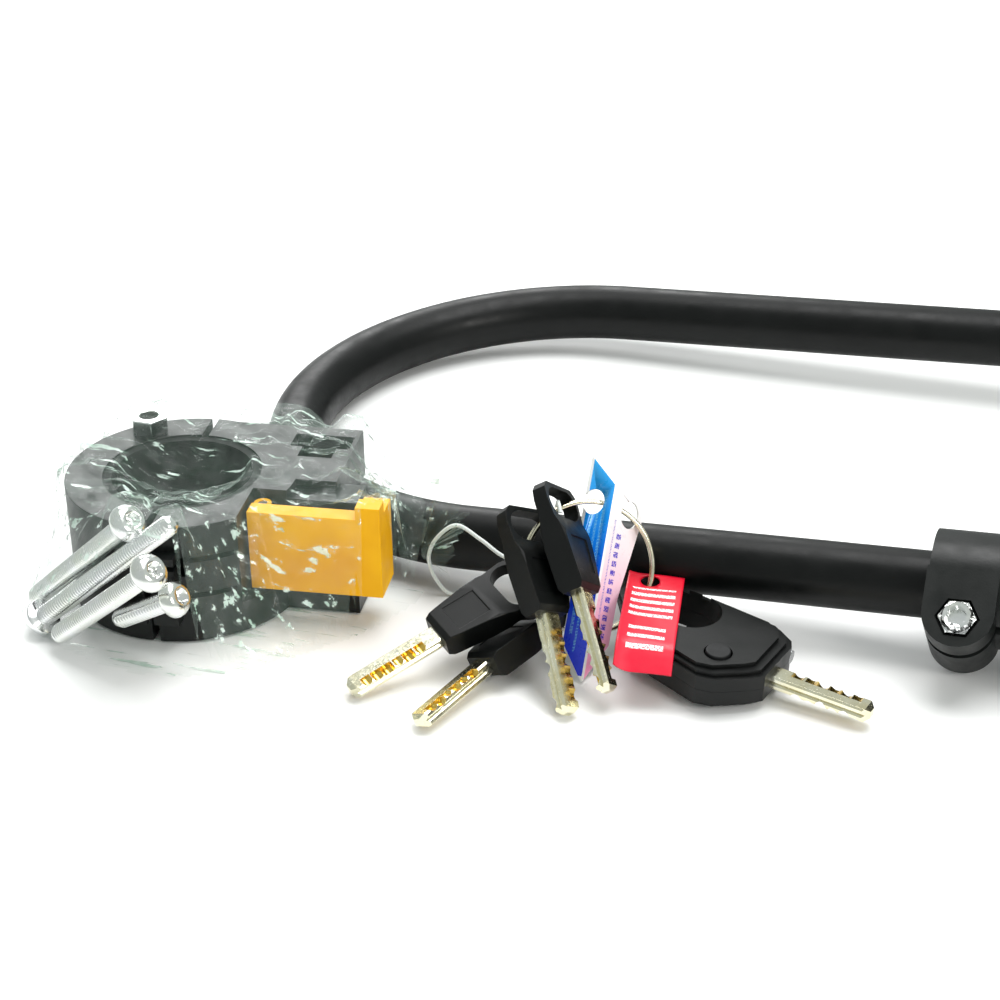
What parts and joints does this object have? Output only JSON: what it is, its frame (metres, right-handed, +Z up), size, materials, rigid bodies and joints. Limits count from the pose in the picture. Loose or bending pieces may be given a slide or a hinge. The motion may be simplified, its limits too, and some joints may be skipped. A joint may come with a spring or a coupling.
{
  "type": "u lock",
  "caption": "U lock with a double-bolt crossbar, a clamp on one leg, keys on a split ring and a bagged frame bracket.",
  "frame": {"origin": "middle of the whole group's footprint, on the table plane", "axes": "+X from the bend towards the crossbar, +Y from the near leg to the far leg, +Z up from the table"},
  "size_m": [0.3082, 0.2297, 0.042],
  "materials": {
    "shackle_rod": "bare hardened steel bar, satin",
    "shackle_coating": "black vinyl, slight sheen",
    "clamp_strap": "black moulded nylon",
    "clamp_liner": "black rubber",
    "clamp_tongue": "black moulded nylon",
    "clamp_bolts": "zinc plated",
    "clamp_nuts": "bright zinc, nylon collar",
    "crossbar_tube": "bare steel",
    "crossbar_cover": "black vinyl, slight sheen",
    "end_cap_near": "black moulded plastic",
    "end_cap_far": "black moulded plastic",
    "cap_pins": "spring steel",
    "leg_bushing_near": "black acetal",
    "leg_bushing_far": "black acetal",
    "bolt_guide_near": "sintered steel",
    "bolt_guide_far": "sintered steel",
    "lock_housing": "machined",
    "housing_pin": "ground",
    "lock_bezel": "grey, satin",
    "dust_cover": "black",
    "dust_cover_pin": "ground",
    "lock_plug": "machined",
    "guard_disc": "hardened",
    "lock_discs": "stamped",
    "disc_spacers": "stamped",
    "sidebar": "ground",
    "drive_cam": "sintered steel",
    "lock_bolt_near": "hardened",
    "lock_bolt_far": "hardened",
    "key_ring": "nickel plated spring steel",
    "bracket_body": "black moulded nylon",
    "bracket_strap": "black moulded nylon",
    "bracket_liner": "black rubber",
    "release_lever": "orange-yellow moulded plastic",
    "lever_pin": "ground",
    "lever_spring": "spring wire",
    "loose_bolts": "zinc plated",
    "loose_nuts": "zinc plated",
    "bag_film": "clear film",
    "tie_string": "white twine",
    "key_1_blade": "nickel silver, cut edges brass yellow",
    "key_1_head": "black moulded plastic",
    "key_2_blade": "nickel silver, cut edges brass yellow",
    "key_2_head": "black moulded plastic",
    "key_3_blade": "nickel silver, cut edges brass yellow",
    "key_3_head": "black moulded plastic",
    "key_4_blade": "nickel silver, cut edges brass yellow",
    "key_4_head": "black moulded plastic",
    "light_key_blade": "nickel silver, cut edges brass yellow",
    "light_key_top": "black moulded plastic",
    "light_key_bottom": "black moulded plastic",
    "light_key_button": "soft black",
    "light_key_lens": "clear diode lens",
    "light_key_battery": "cell",
    "code_card": "printed card, blue and pink",
    "care_tag": "red card, white marks"
  },
  "bodies": {
    "shackle": {"shackle_rod": "shackle_rod", "shackle_coating": "shackle_coating", "clamp_strap": "clamp_strap", "clamp_liner": "clamp_liner", "clamp_tongue": "clamp_tongue", "clamp_bolts": "clamp_bolts", "clamp_nuts": "clamp_nuts"},
    "crossbar": {"crossbar_tube": "crossbar_tube", "crossbar_cover": "crossbar_cover", "end_cap_near": "end_cap_near", "end_cap_far": "end_cap_far", "cap_pins": "cap_pins", "leg_bushing_near": "leg_bushing_near", "leg_bushing_far": "leg_bushing_far", "bolt_guide_near": "bolt_guide_near", "bolt_guide_far": "bolt_guide_far", "lock_housing": "lock_housing", "housing_pin": "housing_pin", "lock_bezel": "lock_bezel", "dust_cover_pin": "dust_cover_pin"},
    "plug": {"lock_plug": "lock_plug", "guard_disc": "guard_disc", "lock_discs": "lock_discs", "disc_spacers": "disc_spacers", "sidebar": "sidebar", "drive_cam": "drive_cam"},
    "bolt_near": {"lock_bolt_near": "lock_bolt_near"},
    "bolt_far": {"lock_bolt_far": "lock_bolt_far"},
    "keyhole_cover": {"dust_cover": "dust_cover"},
    "accessories": {"key_ring": "key_ring", "bracket_body": "bracket_body", "bracket_strap": "bracket_strap", "bracket_liner": "bracket_liner", "lever_pin": "lever_pin", "lever_spring": "lever_spring", "loose_bolts": "loose_bolts", "loose_nuts": "loose_nuts", "bag_film": "bag_film", "tie_string": "tie_string", "code_card": "code_card"},
    "lever": {"release_lever": "release_lever"},
    "key_1": {"key_1_blade": "key_1_blade", "key_1_head": "key_1_head"},
    "key_2": {"key_2_blade": "key_2_blade", "key_2_head": "key_2_head"},
    "key_3": {"key_3_blade": "key_3_blade", "key_3_head": "key_3_head"},
    "key_4": {"key_4_blade": "key_4_blade", "key_4_head": "key_4_head"},
    "light_key": {"light_key_blade": "light_key_blade", "light_key_top": "light_key_top", "light_key_bottom": "light_key_bottom", "light_key_lens": "light_key_lens", "light_key_battery": "light_key_battery"},
    "light_button": {"light_key_button": "light_key_button"},
    "tag": {"care_tag": "care_tag"}
  },
  "joints": [
    {"name": "crossbar_pull", "type": "slide", "parent": "shackle", "child": "crossbar", "axis": [0.9986, 0, 0.0529], "range_m": [0, 0.06]},
    {"name": "plug_turn", "type": "hinge", "parent": "crossbar", "child": "plug", "pos_m": [0.13028, 0.0199, 0.021], "axis": [-0.9986, 0, -0.0529], "range_deg": [0, 95]},
    {"name": "bolt_far_throw", "type": "slide", "parent": "crossbar", "child": "bolt_far", "axis": [0, 1, 0], "range_m": [0, 0.006]},
    {"name": "bolt_near_throw", "type": "slide", "parent": "crossbar", "child": "bolt_near", "axis": [0, -1, 0], "range_m": [0, 0.0066]},
    {"name": "keyhole_cover_swing", "type": "hinge", "parent": "crossbar", "child": "keyhole_cover", "pos_m": [0.15155, 0.0291, 0.02213], "axis": [0.9986, 0, 0.0529], "range_deg": [0, 70]},
    {"name": "accessories_lift", "type": "slide", "parent": "shackle", "child": "accessories", "axis": [0, 0, 1], "range_m": [0, 0.1]},
    {"name": "lever_press", "type": "hinge", "parent": "accessories", "child": "lever", "pos_m": [-0.10016, -0.0723, 0.0186], "axis": [0, 0, 1], "range_deg": [0, 4], "stiffness_Nm_per_rad": 0.5},
    {"name": "key_1_swing", "type": "hinge", "parent": "accessories", "child": "key_1", "pos_m": [-0.03877, -0.07147, 0.01458], "axis": [-0.771, 0.6032, 0.2042], "range_deg": [0, 8]},
    {"name": "key_2_swing", "type": "hinge", "parent": "accessories", "child": "key_2", "pos_m": [-0.03376, -0.07179, 0.0082], "axis": [-0.4073, 0.0442, 0.9122], "range_deg": [0, 8]},
    {"name": "key_3_swing", "type": "hinge", "parent": "accessories", "child": "key_3", "pos_m": [-0.03868, -0.06518, 0.02678], "axis": [-0.7332, 0.1434, -0.6647], "range_deg": [0, 8]},
    {"name": "key_4_swing", "type": "hinge", "parent": "accessories", "child": "key_4", "pos_m": [-0.03379, -0.06035, 0.03062], "axis": [0.8585, 0.1077, 0.5014], "range_deg": [0, 4]},
    {"name": "light_key_swing", "type": "hinge", "parent": "accessories", "child": "light_key", "pos_m": [-0.01703, -0.06217, 0.00781], "axis": [0.068, -0.0157, 0.9976], "range_deg": [0, 5]},
    {"name": "light_button_press", "type": "slide", "parent": "light_key", "child": "light_button", "axis": [-0.068, 0.0157, -0.9976], "range_m": [0, 0.0004], "stiffness_N_per_m": 500},
    {"name": "tag_swing", "type": "hinge", "parent": "accessories", "child": "tag", "pos_m": [-0.01459, -0.05768, 0.0138], "axis": [-1, 0, 0], "range_deg": [0, 8]}
  ],
  "couplings": [
    {"joint": "plug_turn", "follows": "bolt_far_throw", "rad_per_m": 261.7},
    {"joint": "bolt_near_throw", "follows": "bolt_far_throw", "ratio": 1}
  ]
}
